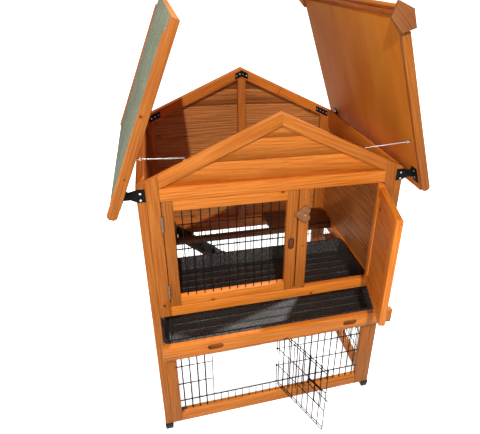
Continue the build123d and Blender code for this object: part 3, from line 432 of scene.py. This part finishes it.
# The felt carries slate grit, drawn 2.5 mm wide, coarser than the real 1 mm, so that it shows.
mineral_felt = finish("mineral_roof_felt")
place = add(mineral_felt, "TexCoord", out="Object")
grit = add(mineral_felt, "TexVoronoi", {"Vector": place, "Scale": 400.0})
shade = add(mineral_felt, "TexVoronoi", {"Vector": place, "Scale": 400.0}, "Color")
shade = add(mineral_felt, "SeparateColor", {"Color": shade})
wear = add(mineral_felt, "TexNoise", {"Vector": place, "Scale": 14.0, "Detail": 4.0})
mixed = add(mineral_felt, "Math", {0: wear, 1: 0.45}, operation="MULTIPLY")
mixed = add(mineral_felt, "Math", {0: shade, 1: 0.55, 2: mixed}, operation="MULTIPLY_ADD")
stops = ((0.1, "#5C614B"), (0.5, "#8D9278"), (0.9, "#BFC3A8"))
colour = add(mineral_felt, "ValToRGB", {"Fac": mixed}, stops=stops)
relief = add(mineral_felt, "Bump", {"Strength": 0.8, "Distance": 0.8 * mm, "Height": grit})
skin = {"Base Color": colour, "Roughness": 0.92, "Normal": relief, "Specular IOR Level": 0.2}
add(mineral_felt, "OutputMaterial", {"Surface": add(mineral_felt, "BsdfPrincipled", skin)})

for side in ("left", "right"):
    make(side + "_roof_panel", plywood, grained=True)
    make(side + "_roof_felt", mineral_felt, ease=0.5)
    make(side + "_roof_barges", stained_fir, grained=True)
make("ridge_boards", stained_fir, grained=True)

# The caps over the ridge ends are cut from offcuts, with the grain at a slant and less stain.
cap_fir = fir("offcut_fir", "#C07A42", "#B46A34", "#9E5826", knots=0.5)
make("ridge_end_caps", cap_fir, grained=True)

# ------------------------------------------------------------ roof hinges and brackets
# Pressed steel strap hinges and corner plates, powder coated black with a fine texture, which
# keeps them matt.  Each is held by zinc-plated screws.
black_steel = finish("black_powder_coat")
place = add(black_steel, "TexCoord", out="Object")
texture = add(black_steel, "TexNoise", {"Vector": place, "Scale": 1400.0, "Detail": 2.0})
relief = add(black_steel, "Bump", {"Strength": 0.4, "Distance": 0.1 * mm, "Height": texture})
stops = ((0.3, "#070606"), (0.7, "#0E0D0C"))
colour = add(black_steel, "ValToRGB", {"Fac": texture}, stops=stops)
skin = {"Base Color": colour, "Roughness": 0.65, "Normal": relief, "Specular IOR Level": 0.12}
add(black_steel, "OutputMaterial", {"Surface": add(black_steel, "BsdfPrincipled", skin)})
for node in ("left_roof_hinges", "right_roof_hinges", "roof_hinge_plates", "corner_brackets"):
    make(node, black_steel, ease=0.3)

# ------------------------------------------------------------ stay hooks and eyes
# Bent from 3 mm zinc-plated wire: an eye turned at one end, a right-angle tip at the other.
# The screw eyes are turned from the same wire.
for node in ("left_stay_hook", "right_stay_hook", "left_roof_eye", "right_roof_eye", "gable_eyes"):
    make(node, zinc, ease=0, smooth=60)

# ------------------------------------------------------------ screws
# Zinc-plated countersunk screws, 3.5 mm, driven by hand.  Each head is a low dome with a
# sunk recess, bright against the black plates and the stained fir.
bpy.ops.object.select_all(action="DESELECT")
bpy.ops.mesh.primitive_cylinder_add(vertices=12, radius=3 * mm, depth=1 * mm, location=(0, 0, 0))
screw_head = bpy.context.active_object
bpy.ops.object.mode_set(mode="EDIT")
shape = bmesh.from_edit_mesh(screw_head.data)
for face in shape.faces:
    face.select_set(face.normal.z > 0.9)
bpy.ops.mesh.inset(thickness=0.8 * mm)
bpy.ops.transform.translate(value=(0, 0, 0.5 * mm))
bpy.ops.mesh.inset(thickness=0.8 * mm)
bpy.ops.mesh.extrude_region_move(TRANSFORM_OT_translate={"value": (0, 0, -0.8 * mm)})
bpy.ops.object.mode_set(mode="OBJECT")


def drive(name, body, spots, scale=1.0, metal=zinc):
    """Puts a screw head at each place, facing the way given, as one piece on a body."""
    bpy.ops.object.select_all(action="DESELECT")
    for at, facing in spots:
        head = screw_head.copy()
        head.data = screw_head.data.copy()
        turn = Vector(facing).to_track_quat("Z", "Y").to_matrix().to_4x4()
        size = Matrix.Diagonal((scale, scale, scale, 1))
        head.data.transform(Matrix.Translation(Vector(at) * mm) @ turn @ size)
        bpy.context.scene.collection.objects.link(head)
        head.select_set(True)
        bpy.context.view_layer.objects.active = head
    bpy.ops.object.join()
    screws = bpy.context.active_object
    screws.name = name
    bpy.ops.object.shade_smooth_by_angle(angle=math.radians(50))
    screws.data.materials.append(metal)
    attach(screws, body)


# two in each plate under the eaves
forward, backward = (0, -1, 0), (0, 1, 0)
plates = []
for x in (-379, 379):
    for y, facing in ((-317, forward), (317, backward)):
        plates += [((x, y, z), facing) for z in (921, 940)]
drive("plate_screws", "case", plates)

# four in each corner bracket inside the back, which follow the slope of the rakes
ridge, slope, drop, bracket_face = 1138.2, 0.4715, 19, 277.8
brackets = []
for low, high in ((-24, 24), (307.8, 359.8), (-359.8, -307.8)):
    for part in (0.12, 0.38, 0.62, 0.88):
        x = low + part * (high - low)
        brackets.append(((x, bracket_face, ridge - slope * abs(x) - drop), forward))
drive("bracket_screws", "case", brackets, 0.8)

# two in each hinge flange on the roofs, which lean in at 20 degrees, and three in each barge
lean, outward, down = 0.37, 0.94, -0.34
flange_x, flange_z, barge_foot, barge_rise = 426.5, 915, 899, 457
for side, sign, foot, top in (("left", -1, 450.5, 269), ("right", 1, 448.5, 293)):
    flanges = []
    for y in (-327, 327):
        for z in (925, 946):
            x = flange_x - (z - flange_z) * lean
            flanges.append(((sign * x, y, z), (-sign * outward, 0, down)))
    drive(side + "_flange_screws", side + "_roof", flanges)
    nails = []
    for y, facing in ((-361, forward), (408.3, backward)):
        for part in (0.06, 0.47, 0.94):
            x = foot + (top - foot) * part
            nails.append(((sign * x, y, barge_foot + barge_rise * part), facing))
    drive(side + "_barge_screws", side + "_roof", nails, 0.7, dull)

# two in the edge of the open door, and one in each of three front timbers
door_facing = (-0.2425, -0.97, 0)
edge = [((265, -539.1, z), door_facing) for z in (899, 556)]
drive("door_edge_screws", bodies["right_door_frame"], edge, 0.75, dull)
timbers = [(-358, -310, 793), (-378.5, -310, 488), (377.5, -310, 45)]
drive("frame_screws", "case", [(at, forward) for at in timbers], 0.75, dull)
bpy.data.objects.remove(screw_head)

# ------------------------------------------------------------ ramp
# A fir plank with black mineral felt glued along its top and cleats nailed over it.  A black
# strap hinge holds its upper end to the floor.  The grit gives the felt a broken black.
ramp_felt = finish("black_mineral_felt")
place = add(ramp_felt, "TexCoord", out="Object")
grit = add(ramp_felt, "TexVoronoi", {"Vector": place, "Scale": 450.0})
shade = add(ramp_felt, "TexVoronoi", {"Vector": place, "Scale": 450.0}, "Color")
shade = add(ramp_felt, "SeparateColor", {"Color": shade})
colour = add(ramp_felt, "ValToRGB", {"Fac": shade}, stops=((0.2, "#0E0E0E"), (0.8, "#242322")))
relief = add(ramp_felt, "Bump", {"Strength": 0.7, "Distance": 0.6 * mm, "Height": grit})
skin = {"Base Color": colour, "Roughness": 0.85, "Normal": relief}
add(ramp_felt, "OutputMaterial", {"Surface": add(ramp_felt, "BsdfPrincipled", skin)})
plank = make("ramp_board", inner_fir, grained=True)
plank.data.materials.append(ramp_felt)
for face in plank.data.polygons:
    face.material_index = int(face.normal.z > 0.45)  # the top, which slopes
make("ramp_cleats", ramp_felt, ease=0.6)
make("ramp_hinge", black_steel, ease=0.3)
make("ramp_hinge_plate", black_steel, ease=0.3)

# ------------------------------------------------------------ feet
# Moulded black polypropylene, slightly tapered, pressed on under each post.  A fine mould
# texture leaves it satin.
foot_plastic = finish("black_polypropylene")
place = add(foot_plastic, "TexCoord", out="Object")
mist = add(foot_plastic, "TexNoise", {"Vector": place, "Scale": 600.0, "Detail": 2.0})
relief = add(foot_plastic, "Bump", {"Strength": 0.3, "Distance": 0.1 * mm, "Height": mist})
colour = add(foot_plastic, "ValToRGB", {"Fac": mist}, stops=((0.3, "#0B0B0B"), (0.7, "#161615")))
skin = {"Base Color": colour, "Roughness": 0.55, "Normal": relief, "Specular IOR Level": 0.2}
add(foot_plastic, "OutputMaterial", {"Surface": add(foot_plastic, "BsdfPrincipled", skin)})
make("feet", foot_plastic, ease=1.0)

# ------------------------------------------------------------ studio floor
# Seamless white paper, lit from below as well, so that it stays white under the hutch.  It
# throws no soft light back, which would fill the shadows.
bpy.ops.mesh.primitive_plane_add(size=400)
ground = bpy.context.active_object
ground.name = "studio_floor"
ground.location.z = -0.2 * mm
ground.visible_diffuse = False
paper = finish("white_studio_paper")
place = add(paper, "TexCoord", out="Object")
tooth = add(paper, "TexNoise", {"Vector": place, "Scale": 3.0, "Detail": 3.0})
colour = add(paper, "ValToRGB", {"Fac": tooth}, stops=((0.3, "#F2F1EF"), (0.7, "#F6F5F3")))
skin = {"Base Color": colour, "Roughness": 0.8, "Emission Color": (1, 1, 1, 1)}
skin["Emission Strength"] = 0.92
add(paper, "OutputMaterial", {"Surface": add(paper, "BsdfPrincipled", skin)})
ground.data.materials.append(paper)

# ------------------------------------------------------------ light
# A small lamp high over the front, a sun behind at the right, and soft boxes in front, at the
# left, high at the left front and behind at the right.
world = bpy.data.worlds.new("studio")
bpy.context.scene.world = world
world.use_nodes = True
sky = world.node_tree.nodes["Background"].inputs
sky["Color"].default_value = (1.0, 1.0, 1.0, 1.0)
sky["Strength"].default_value = 0.12


def lamp(name, kind, at, toward, energy, **form):
    """A light at a place, facing another."""
    bpy.ops.object.light_add(type=kind, location=at)
    light = bpy.context.active_object
    light.name = name
    light.data.energy = energy
    light.rotation_euler = (Vector(toward) - Vector(at)).to_track_quat("-Z", "Y").to_euler()
    for key, value in form.items():
        setattr(light.data, key, value)


lamp("key", "AREA", (-0.52, -4.3, 4.75), (0, -0.3, 1.0), 220, shape="DISK", size=0.1)
lamp("rim", "SUN", (0.26, 0.66, 0.70), (0, 0, 0), 2.6, angle=math.radians(1.2))
front = {"shape": "RECTANGLE", "size": 3.0, "size_y": 1.2}
lamp("front_box", "AREA", (-0.6, -4.0, 0.75), (0, 0, 0.7), 12, **front)
side = {"shape": "RECTANGLE", "size": 2.5, "size_y": 1.6}
lamp("left_box", "AREA", (-4.2, -0.6, 1.0), (0, 0, 0.8), 26, **side)
high = {"shape": "RECTANGLE", "size": 1.2, "size_y": 1.2}
lamp("high_box", "AREA", (-2.2, -3.2, 2.1), (0.2, 0, 0.9), 60, **high)
lamp("back_box", "AREA", (4.0, 1.6, 1.0), (0, 0.2, 0.8), 40, **side)

# ------------------------------------------------------------ camera
# Above the left front corner, looking down, with a slight roll.  The picture's middle lies off
# the lens's axis.
azimuth, elevation, roll = math.radians(17.648), math.radians(-27.515), math.radians(2.8436)
flat = math.cos(elevation)
forward = Vector((math.sin(azimuth) * flat, math.cos(azimuth) * flat, math.sin(elevation)))
level = forward.cross(Vector((0, 0, 1))).normalized()
upward = level.cross(forward)
right = level * math.cos(roll) + upward * math.sin(roll)
up = upward * math.cos(roll) - level * math.sin(roll)
bpy.ops.object.camera_add(location=(-0.3136, -1.4121, 1.4699))
camera = bpy.context.active_object
camera.rotation_euler = Matrix((right, up, -forward)).transposed().to_euler()
sensor, width, height = 36, 480, 434
focal, centre_x, centre_y = 444.944, 291.949, 202.846
camera.data.sensor_width = sensor
camera.data.lens = focal / width * sensor
camera.data.shift_x = (width / 2 - centre_x) / width
camera.data.shift_y = (centre_y - height / 2) / width
camera.data.clip_start = 0.01
camera.data.clip_end = 600
bpy.context.scene.camera = camera
bpy.context.scene.view_settings.view_transform = "Standard"
